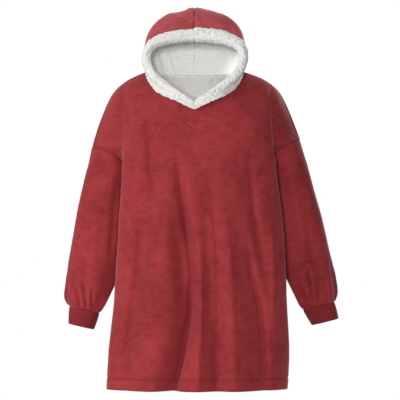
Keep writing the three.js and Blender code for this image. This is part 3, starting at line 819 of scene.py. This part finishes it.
@dataclass
class Fleece:
    """The fleece outside, with creases, soft dimples, sewn seams and the hem.

    The steps pair a share of the strip beside a seam with the longest edge that is left in it.
    """

    seams: SeamMap
    seam_free: float = 2 * MM
    quiet: float = 22 * MM
    # How deep a crease is when its painted shade is full, and how strong that shade is.
    full_hollow: float = 18 * MM
    hollow_share: float = 0.45
    dimple: float = 1.5 * MM
    dimple_size: float = 75 * MM
    ripple: float = 0.5 * MM
    ripple_size: float = 26 * MM
    narrow: float = 8 * MM
    narrow_edge: float = 2.6 * MM
    least_press: float = 0.05 * MM
    seam_depth: float = 1.6 * MM
    seam_width: float = 4.0 * MM
    seam_strip: float = 14 * MM
    seam_steps: Path = ((1, 5.4 * MM), (0.7, 3.6 * MM), (0.45, 2.1 * MM))
    shade_width: float = 2.6 * MM
    hem_height: float = at_pixel(0, HEM_SEAM_ROW)[1]
    hem_strip: float = 10 * MM
    hem_steps: Path = ((1, 4 * MM), (0.5, 2.1 * MM))
    hem_groove: float = 1.5 * MM
    hem_groove_width: float = 2.6 * MM
    hem_fold: float = 0.9 * MM
    hem_pucker: float = 1.3 * MM
    hem_pucker_size: float = 17 * MM
    hem_pucker_reach: tuple[float, float] = (14 * MM, 2 * MM)
    hem_shade: float = 0.7
    thread: float = 0.8 * MM
    stitch_length: float = 3.0 * MM
    stitch_space: float = 4.2 * MM
    on_line: float = 0.05 * MM
    on_outside: float = 0.9

    def dress(self, cloth: Cloth, creases: tuple[Crease, ...], hemmed: bool = False) -> None:
        """Gives a panel its creases, dimples, seam hollows and hem.

        Args:
            cloth: the started panel.
            creases: its creases.
            hemmed: whether the panel ends in the hem.
        """
        self.refine(cloth, creases, hemmed)
        away = cloth.core.away(cloth.points)
        gaps = self.seams.gaps(cloth.points)
        pressed = np.zeros(len(cloth.points))
        for crease in creases:
            hold = smooth(gaps, self.seam_free, crease.hold * MM) if crease.hold else 1.0
            pressed += crease.press(cloth.points, away[:, 1]) * hold
        moved = self.dimple * perlin(cloth.points, self.dimple_size)
        moved += self.ripple * perlin(cloth.points, self.ripple_size, 5.0)
        cloth.push(moved * smooth(gaps, self.seam_free, self.quiet) - pressed, away)
        below = self.hem_height - cloth.points[:, 2]
        sunk = -self.seam_depth * np.exp(-((gaps / self.seam_width) ** 2))
        # Painted shade along the seams and the hem's seam line.
        line = np.exp(-((gaps / self.shade_width) ** 2))
        if hemmed:
            sunk += self.hem(cloth.points, below)
            line = np.maximum(line, self.hem_shade * np.exp(-((below / self.shade_width) ** 2)))
        cloth.push(sunk * cloth.outer(), away)
        hollow = np.clip(pressed / self.full_hollow, 0, 1)
        # Painted shade, kept for the material: darker along the seams, the hem's seam line and in the
        # creases' hollows.
        cloth.mark(Cloth.SHADE, np.maximum(line, self.hollow_share * hollow))

    def refine(self, cloth: Cloth, creases: tuple[Crease, ...], hemmed: bool) -> None:
        """Makes the mesh finer along the seams, the hem and the narrow creases."""
        for share, longest in self.seam_steps:
            cloth.refine(self.seams.gaps(cloth.points) < share * self.seam_strip, longest)
        if hemmed:
            cloth.cut_at(self.hem_height)
            for share, longest in self.hem_steps:
                near = abs(cloth.points[:, 2] - self.hem_height) < share * self.hem_strip
                cloth.refine(near, longest)
        fine = [c for c in creases if c.width * MM < self.narrow]
        if fine:
            facing = cloth.core.away(cloth.points)[:, 1]
            near = sum(abs(c.press(cloth.points, facing)) for c in fine)
            cloth.refine(near > self.least_press, self.narrow_edge)

    def hem(self, points: np.ndarray, below: np.ndarray) -> np.ndarray:
        """How far the hem's groove, fold and puckers move each point out.

        Args:
            points: an array of points.
            below: how far each point lies below the hem's seam.

        Returns:
            Metres away from the inside.
        """
        groove = self.hem_groove * np.exp(-((below / self.hem_groove_width) ** 2))
        fold = self.hem_fold * smooth(below, 0, 3 * self.hem_groove_width)
        puckers = perlin(points * (1, 0.3, 0), self.hem_pucker_size, 9.0)
        puckers *= smooth(abs(below), *self.hem_pucker_reach)
        return fold - groove + self.hem_pucker * puckers

    def stitch_row(self, name: str, cloth: Cloth, material: bpy.types.Material) -> bpy.types.Object:
        """The named row of stitches along the finished panel's hem, in the thread's finish."""
        mesh = self.stitches(name, cloth)
        mesh.materials.append(material)
        row = bpy.data.objects.new(name, mesh)
        bpy.context.scene.collection.objects.link(row)
        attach(row, BODY)
        log.info("%s: %d faces", row.name, len(mesh.polygons))
        return row

    def stitches(self, name: str, cloth: Cloth) -> bpy.types.Mesh:
        """The mesh of those stitches, one shape repeated along the hem's groove."""
        level = abs(cloth.points[:, 2] - self.hem_height) < self.on_line
        row = cloth.points[level & (cloth.outer() > self.on_outside)]
        row = row[np.argsort(row[:, 0])]
        steps = np.linalg.norm(np.diff(row, axis=0), axis=1)
        run = np.concatenate([[0], np.cumsum(steps)])
        middles = np.arange(self.stitch_space, run[-1] - self.stitch_space, self.stitch_space)
        half = self.stitch_length / 2
        ends = [
            np.stack([np.interp(middles + side * half, run, row[:, k]) for k in range(3)], 1)
            for side in (-1, 1)
        ]
        along = ends[1] - ends[0]
        along /= np.linalg.norm(along, axis=1, keepdims=True)
        out = np.cross(along, (0, 0, 1))
        up = np.cross(out, along)
        shape, faces = self.stitch()
        sized = shape * (half, self.thread / 2, self.thread / 2)
        turn = np.stack([along, out, up], 1)
        points = np.einsum("ij,njk->nik", sized, turn) + ((ends[0] + ends[1]) / 2)[:, None, :]
        shifts = np.arange(len(middles)) * len(shape)
        repeated = [tuple(corner + shift for corner in face) for shift in shifts for face in faces]
        mesh = bpy.data.meshes.new(name)
        mesh.from_pydata(points.reshape(-1, 3).tolist(), [], repeated)
        mesh.polygons.foreach_set("use_smooth", [True] * len(mesh.polygons))
        return mesh

    @staticmethod
    def stitch() -> tuple[np.ndarray, list[tuple[int, ...]]]:
        """One stitch, a small rounded bar of unit size, as points and faces."""
        form = bmesh.new()
        lying = Matrix.Rotation(math.pi / 2, 4, "Y")
        bmesh.ops.create_uvsphere(form, u_segments=6, v_segments=4, radius=1, matrix=lying)
        points = np.array([v.co for v in form.verts])
        faces = [tuple(v.index for v in f.verts) for f in form.faces]
        form.free()
        return points, faces


@dataclass
class Pile:
    """The curly pile inside the hood, on its border and behind the neck."""

    backing: Backing
    seams: SeamMap
    open_share: float = 0.6
    open_edge: float = 1.4 * MM
    curl_height: float = 4.2 * MM
    curl_size: float = 8.2 * MM
    small_height: float = 2.2 * MM
    small_size: float = 4.0 * MM
    middle: float = 0.42
    bend: float = 2.4 * MM
    bend_size: float = 14 * MM
    patch_size: float = 45 * MM
    seam_reach: tuple[float, float] = (0.5 * MM, 5 * MM)
    seam_curl: float = 0.35
    seam_crest: float = 0.6
    lean: float = 0.25
    # Between these depths the pile goes from the hood's border to its inside: painted light whitens it
    # inside and darkens the border's crests, and the curls flatten inside.
    lightening_start: float = -75 * MM
    lightening_end: float = -10 * MM
    inside_flattening: float = 0.35
    border_crest_kept: float = 0.45
    bare_gap: float = 1.2 * MM
    full_gap: float = 4.5 * MM
    steps_in: int = 4
    in_the_open: tuple[float, float] = (0.45, 0.95)

    def dress(self, cloth: Cloth, creases: tuple[Crease, ...]) -> None:
        """Gives a piece of pile its folds and curls, which thin out where the fleece lies over it.

        Args:
            cloth: the started piece.
            creases: its folds. Those that go round are folds of the fleece over it too.
        """
        cloth.refine(self.shown(cloth) > self.open_share, self.open_edge)
        shown = self.shown(cloth)
        away = cloth.core.away(cloth.points)
        pressed = np.zeros(len(cloth.points))
        for crease in creases:
            free = 1 if crease.face is Face.ROUND else shown
            pressed += crease.press(cloth.points, away[:, 1]) * free
        cloth.push(-pressed, away)
        unsewn = smooth(self.seams.gaps(cloth.points), *self.seam_reach)
        bends = [perlin(cloth.points, self.bend_size, shift) for shift in (0.0, 3.0, 7.0)]
        bent = cloth.points + self.bend * np.stack(bends, 1)
        large = curls(bent, self.curl_size)
        small = curls(bent + 0.5, self.small_size)
        patches = 0.75 + 0.35 * perlin(cloth.points, self.patch_size, 2.0)
        height = self.curl_height * (large - self.middle) * patches
        height += self.small_height * (small - self.middle)
        inside = cloth.points[:, 1] - self.lean * cloth.points[:, 2]
        # Painted light: 0 at the hood's border and 1 deep inside; the border is painted darker and the
        # inside lighter, and the curls there are flatter.
        inside_painted_light = smooth(inside, self.lightening_start, self.lightening_end)
        height *= shown * at_least(self.seam_curl, unsewn) * (1 - self.inside_flattening * inside_painted_light)
        cloth.push(height, cloth.normals())
        # Painted shade: curl crests are marked lighter than the hollows between them, and darker near the
        # lining's seams.
        raised = np.clip(0.65 * large + 0.35 * small, 0, 1) * at_least(self.seam_crest, unsewn)
        cloth.mark(Cloth.HEIGHT, raised * at_least(self.border_crest_kept, inside_painted_light))
        cloth.mark(Cloth.PAINTED_LIGHT, inside_painted_light)

    def shown(self, cloth: Cloth) -> np.ndarray:
        """0 where the fleece lies over the pile and 1 where the pile is in the open."""
        room = self.backing.room(cloth.points, cloth.normals(), 2 * self.full_gap)
        share = smooth(room, self.bare_gap, self.full_gap)[:, None]
        for _ in range(self.steps_in):
            share = cloth.around(share)
        return smooth(share[:, 0], *self.in_the_open)


@dataclass(frozen=True)
class Lamp:
    """A large soft round lamp that points at the garment."""

    name: str
    place: tuple[float, float, float]
    size: float
    power: float


@dataclass
class Studio:
    """Pale floor, white room, soft lamps and the camera at the photograph's angle."""

    camera_distance: float = 8.0
    camera_reach: float = 100.0
    sensor: float = 36.0
    floor_height: float = -1.42
    floor_radius: float = 1.5
    floor_sides: int = 96
    room_seen: float = 1.0
    room_lit: float = 0.21
    aim: tuple[float, float, float] = (0, 0, -0.35)
    lamps: tuple[Lamp, ...] = (
        Lamp("front_light", (-0.4, -5.2, 0.2), 1.1, 172),
        Lamp("main_light", (-3.7, -2.3, 0.9), 0.9, 118),
        Lamp("top_light", (-0.4, 0.5, 2.6), 1.6, 22),
        Lamp("back_light", (2.2, 3.8, 1.3), 2.0, 105),
    )

    def build(self) -> None:
        """Adds floor, world, lights and camera."""
        self.floor()
        self.world()
        self.lights()
        self.camera()

    def floor(self) -> None:
        """A round pale floor below the garment, out of the front view."""
        form = bmesh.new()
        bmesh.ops.create_circle(form, cap_ends=True, radius=self.floor_radius, segments=self.floor_sides)
        bmesh.ops.translate(form, verts=form.verts, vec=(0, 0, self.floor_height))
        mesh = bpy.data.meshes.new("floor")
        form.to_mesh(mesh)
        form.free()
        t = ShaderTree(bpy.data.materials.new("pale_floor"))
        grain = t.clouds(t.place(FULL), 40.0)
        colour = t.blend(grain, (0.80, 0.80, 0.80, 1), (0.84, 0.84, 0.84, 1))
        mesh.materials.append(t.finish({"Base Color": colour, "Roughness": 0.9}))
        floor = bpy.data.objects.new("floor", mesh)
        bpy.context.scene.collection.objects.link(floor)

    def world(self) -> None:
        """A white room: bright behind the garment and softer as a light."""
        world = bpy.data.worlds.new("room")
        bpy.context.scene.world = world
        t = ShaderTree(world)
        white = (1, 1, 1, 1)
        seen = t.node("ShaderNodeBackground", {}, {"Color": white, "Strength": self.room_seen})
        lit = t.node("ShaderNodeBackground", {}, {"Color": white, "Strength": self.room_lit})
        direct = t.node("ShaderNodeLightPath", {}, {}, "Is Camera Ray")
        room = t.node("ShaderNodeMixShader", {}, {0: direct, 1: lit, 2: seen})
        t.show(room, "ShaderNodeOutputWorld")

    def lights(self) -> None:
        """A lamp in front, the main one on the left, a faint one above and one behind for the back."""
        aim = Vector(self.aim)
        for lamp in self.lamps:
            light = bpy.data.lights.new(lamp.name, "AREA")
            light.shape = "DISK"
            light.size = lamp.size
            light.energy = lamp.power
            made = bpy.data.objects.new(lamp.name, light)
            made.location = lamp.place
            made.rotation_euler = (aim - Vector(lamp.place)).to_track_quat("-Z", "Y").to_euler()
            bpy.context.scene.collection.objects.link(made)

    def camera(self) -> None:
        """The camera, level with the middle of the frame and far enough for straight lines."""
        x, z = at_pixel(FRAME_PIXELS / 2, FRAME_PIXELS / 2)
        data = bpy.data.cameras.new("camera")
        data.sensor_width = self.sensor
        data.lens = self.sensor * self.camera_distance / (FRAME_PIXELS * PIXEL)
        data.clip_end = self.camera_reach
        camera = bpy.data.objects.new("camera", data)
        camera.location = (x, -self.camera_distance, z)
        camera.rotation_euler = (math.pi / 2, 0, 0)
        bpy.context.scene.collection.objects.link(camera)
        scene = bpy.context.scene
        scene.camera = camera
        scene.view_settings.view_transform = "Standard"


FLEECE = FleeceFinish()
# Painted light: the hood's fleece is a lighter, pinker copy of the body's fleece, standing in for the light
# on the hood's top.
HOOD_FLEECE_PAINTED_LIGHT = FleeceFinish(
    name="hood_fleece_painted_light", deep=(0.225, 0.026, 0.030, 1), light=(0.43, 0.072, 0.079, 1), sheen=0.5
)

FRONT_CUT = Cut(0.80, 0.96, 0.71, Held.DRAPED)
BACK_CUT = Cut(0.74, 0.97, 0.65, Held.DRAPED)
SLEEVE_CUT = Cut(0.46, 0.51, 0.19, Held.GATHERED)
CUFF_CUT = Cut(0.20, 0.078, 0.0155, Held.STRETCHED)
HOOD_CUT = Cut(0.30, 0.32, 0.076, Held.DRAPED)
NECK_PILE_CUT = Cut(0.46, 0.17, 0.067, Held.DRAPED)
HOOD_PILE_CUT = Cut(0.36, 0.38, 0.10, Held.DRAPED)

BODY_CORE = Core((-2, 20, -60), (-2, 15, -960), 0.62)
LEFT_ARM = Core((-190, 35, -170), (-350, 40, -770))
RIGHT_ARM = Core((190, 35, -160), (395, 40, -760))
HOOD_CORE = Core((-7.5, 25, 110), (-7.5, 10, -20))

FRONT_CREASES = (
    Crease(
        Face.FRONT, 12, 20,
        (
            (173, 128), (178, 165), (182, 200), (189, 240), (193, 275),
            (191, 311), (184, 345), (176, 380), (168, 415),
        ),
        0.34, foot=0.08,
    ),
    Crease(Face.FRONT, 24, 10, ((174, 180), (178, 240), (181, 290), (175, 340), (164, 400)), foot=0.08),
    Crease(
        Face.FRONT, 10, 9,
        ((208, 160), (213, 200), (217, 240), (219, 275), (219, 326), (218, 400)),
        0.45, foot=0.1,
    ),
    Crease(Face.FRONT, 9, 6, ((247, 130), (250, 175), (254, 215), (258, 245), (262, 262), (265, 280)), 0.5),
    Crease(
        Face.FRONT, 9, 12,
        ((245, 225), (248, 258), (254, 285), (259, 304), (262, 333), (264, 402)),
        foot=0.08,
    ),
    Crease(Face.FRONT, 12, 8, ((146, 100), (149, 130), (151, 160), (153, 185), (152, 212)), 0.45),
    Crease(
        Face.FRONT, 13, 10,
        ((139, 190), (142, 233), (139, 261), (134, 300), (129, 330), (124, 395)),
        foot=0.15,
    ),
    Crease(
        Face.FRONT, 13, -8,
        ((162, 185), (157, 220), (150, 261), (151, 290), (145, 325), (138, 395)),
        foot=0.15,
    ),
    Crease(Face.FRONT, 10, -4, ((198, 200), (200, 261), (201, 297), (199, 333), (198, 400)), 0.3, foot=0.1),
    Crease(Face.FRONT, 15, -5, ((224, 190), (228, 250), (231, 320), (233, 398)), foot=0.15),
    Crease(Face.FRONT, 9, -6, ((268, 200), (272, 250), (272, 300), (273, 350))),
    Crease(Face.FRONT, 8, -6, ((126, 165), (124, 205), (121, 250), (117, 300))),
    Crease(Face.FRONT, 7, 6, ((121, 84), (121.5, 105), (122, 130), (122, 158)), 0.12, 12),
    Crease(Face.FRONT, 7, 6, ((271.5, 80), (272.5, 105), (274, 130), (276, 150)), 0.12, 12),
    Crease(Face.FRONT, 3.6, 2.2, ((178, 117), (186, 124), (196, 130), (206, 133), (216, 135))),
    Crease(Face.FRONT, 8, 3.5, ((126, 162), (134, 172), (146, 183))),
    Crease(Face.FRONT, 8, 3.5, ((270, 158), (263, 170), (254, 183))),
)
BACK_CREASES = (
    Crease(Face.BACK, 16, 6, ((150, 150), (147, 210), (149, 270), (143, 330), (139, 392))),
    Crease(Face.BACK, 15, 8, ((182, 120), (184, 180), (181, 250), (184, 320), (180, 394))),
    Crease(Face.BACK, 14, 5, ((213, 160), (211, 230), (215, 300), (214, 392))),
    Crease(Face.BACK, 16, 7, ((247, 140), (249, 200), (245, 270), (251, 335), (255, 392))),
    Crease(Face.BACK, 17, -5, ((166, 170), (165, 250), (163, 320), (160, 385))),
    Crease(Face.BACK, 17, -5, ((230, 180), (231, 260), (233, 330), (234, 390))),
    Crease(Face.BACK, 10, 3, ((126, 160), (136, 172), (150, 180))),
    Crease(Face.BACK, 10, 3, ((270, 156), (261, 169), (248, 178))),
)
LEFT_SLEEVE_CREASES = (
    Crease(Face.FRONT, 8, 3.5, ((118, 168), (115, 200), (112, 240), (110, 270))),
    Crease(Face.FRONT, 10, 3, ((86, 185), (82, 225), (79, 270))),
    Crease(Face.FRONT, 10, -2.5, ((99, 190), (95, 240), (92, 290))),
    Crease(Face.FRONT, 4, 8, ((74, 285), (78, 299), (80, 313)), 0.25, 3),
    Crease(Face.FRONT, 4.5, 9, ((81, 278), (85, 298), (87, 314)), 0.25, 3),
    Crease(Face.FRONT, 4, 7, ((92, 286), (92, 300), (93, 315)), 0.25, 3),
    Crease(Face.BACK, 10, 4, ((106, 175), (100, 230), (96, 280))),
    Crease(Face.BACK, 4, 7, ((80, 290), (82, 302), (84, 311)), 0.3, 5),
    Crease(Face.BACK, 4, 6, ((90, 286), (90, 301), (91, 311)), 0.3, 5),
)
HOOD_CREASES = (
    Crease(Face.ROUND, 16, 8, ((168, 14), (176, 11), (183, 10), (190, 9)), 0.4, 2, 0.3),
    Crease(Face.ROUND, 12, 3, ((198, 9), (206, 9), (216, 12), (226, 17)), 0.3, 2),
    Crease(Face.ROUND, 7, -2.2, ((160, 25), (170, 20), (180, 18), (188, 17)), 0.35, 4),
    Crease(Face.ROUND, 5, 3.0, ((192, 12), (190, 19), (184, 28)), 0.3, 2),
    Crease(Face.ROUND, 5, 3.2, ((198, 12), (203, 21), (211, 30)), 0.3, 2),
    Crease(Face.ROUND, 8, 4.0, ((222, 16), (229, 27), (236, 41)), 0.35, 4),
    Crease(Face.ROUND, 3.4, 2.4, ((194.5, 2), (194.5, 12), (194.5, 22), (194.5, 34)), 0.1, 0, 0.1),
)
RIGHT_SLEEVE_CREASES = (
    Crease(Face.FRONT, 9, 3.5, ((285, 162), (290, 200), (296, 240), (300, 262))),
    Crease(Face.FRONT, 11, 4, ((303, 180), (308, 225), (314, 262), (316, 285))),
    Crease(Face.FRONT, 10, -2.5, ((296, 185), (302, 232), (309, 280))),
    Crease(Face.FRONT, 5, 12, ((305, 264), (310, 288), (313, 311)), 0.25, 3),
    Crease(Face.FRONT, 4.5, 12, ((320, 266), (317, 288), (319, 309)), 0.25, 3),
    Crease(Face.FRONT, 4, 8, ((323, 278), (327, 294), (329, 307)), 0.25, 3),
    Crease(Face.BACK, 10, 4, ((288, 175), (298, 230), (306, 275))),
    Crease(Face.BACK, 4, 7, ((309, 284), (312, 296), (315, 308)), 0.3, 5),
    Crease(Face.BACK, 4, 6, ((321, 284), (323, 296), (325, 305)), 0.3, 5),
)
LINING_CREASES = (
    Crease(Face.BACK, 7, 3.5, ((155, 44), (157, 58), (160, 74), (167, 86))),
    Crease(Face.BACK, 6, 3, ((166, 42), (167, 55), (172, 70), (181, 84))),
    Crease(Face.BACK, 8, 2.5, ((226, 44), (228, 58), (224, 74))),
)


def main() -> None:
    """Builds the garment's pieces in order."""
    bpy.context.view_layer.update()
    Studio().build()
    fleece = FLEECE.material()
    pile = PileFinish().material()
    rib = RibFinish().material()
    thread = ThreadFinish().material()
    hood_fleece_painted_light = HOOD_FLEECE_PAINTED_LIGHT.material()
    body = ("body_front", "body_back")
    arms = ("sleeve_left", "sleeve_right", "cuff_left", "cuff_right")
    hood = ("hood_left", "hood_right")
    linings = ("neck_lining", "hood_lining_left", "hood_lining_right")
    seams = SeamMap(body + arms + hood)
    shell = Fleece(seams)
    # The hood's painted seam shade is wider, and its seams sink less.
    cap = Fleece(seams, quiet=8 * MM, seam_depth=1.2 * MM, shade_width=3.4 * MM)
    for name, node, core, creases, maker, finish, cut in (
        ("front_cloth", "body_front", BODY_CORE, FRONT_CREASES, shell, fleece, FRONT_CUT),
        ("back_cloth", "body_back", BODY_CORE, BACK_CREASES, shell, fleece, BACK_CUT),
        ("left_sleeve_cloth", "sleeve_left", LEFT_ARM, LEFT_SLEEVE_CREASES, shell, fleece, SLEEVE_CUT),
        ("right_sleeve_cloth", "sleeve_right", RIGHT_ARM, RIGHT_SLEEVE_CREASES, shell, fleece, SLEEVE_CUT),
        ("left_hood_cloth", "hood_left", HOOD_CORE, HOOD_CREASES, cap, hood_fleece_painted_light, HOOD_CUT),
        ("right_hood_cloth", "hood_right", HOOD_CORE, HOOD_CREASES, cap, hood_fleece_painted_light, HOOD_CUT),
    ):
        cloth = Cloth(name, node, "fleece", FLEECE_LEVELS, core)
        cloth.start()
        hemmed = node in body
        maker.dress(cloth, creases, hemmed)
        piece = cloth.place(finish)
        sewing = [maker.stitch_row(name + "_stitches", cloth, thread)] if hemmed else []
        cut.declare(piece, sewing)
    for name, node, core in (
        ("left_cuff_rib", "cuff_left", LEFT_ARM),
        ("right_cuff_rib", "cuff_right", RIGHT_ARM),
    ):
        cloth = Cloth(name, node, "rib", RIB_LEVELS, core)
        cloth.start()
        # Painted shade: the rib's crests are marked lighter than its grooves.
        cloth.mark(Cloth.HEIGHT, cloth.crests(RIB_CREST))
        CUFF_CUT.declare(cloth.place(rib), [])
    wool = Pile(Backing(hood + body), SeamMap(linings))
    for name, node, cut in (
        ("neck_pile", "neck_lining", NECK_PILE_CUT),
        ("left_hood_pile", "hood_lining_left", HOOD_PILE_CUT),
        ("right_hood_pile", "hood_lining_right", HOOD_PILE_CUT),
    ):
        cloth = Cloth(name, node, "pile", PILE_LEVELS, HOOD_CORE)
        cloth.start()
        wool.dress(cloth, LINING_CREASES + HOOD_CREASES)
        cut.declare(cloth.place(pile), [])


if __name__ == "__main__":
    main()
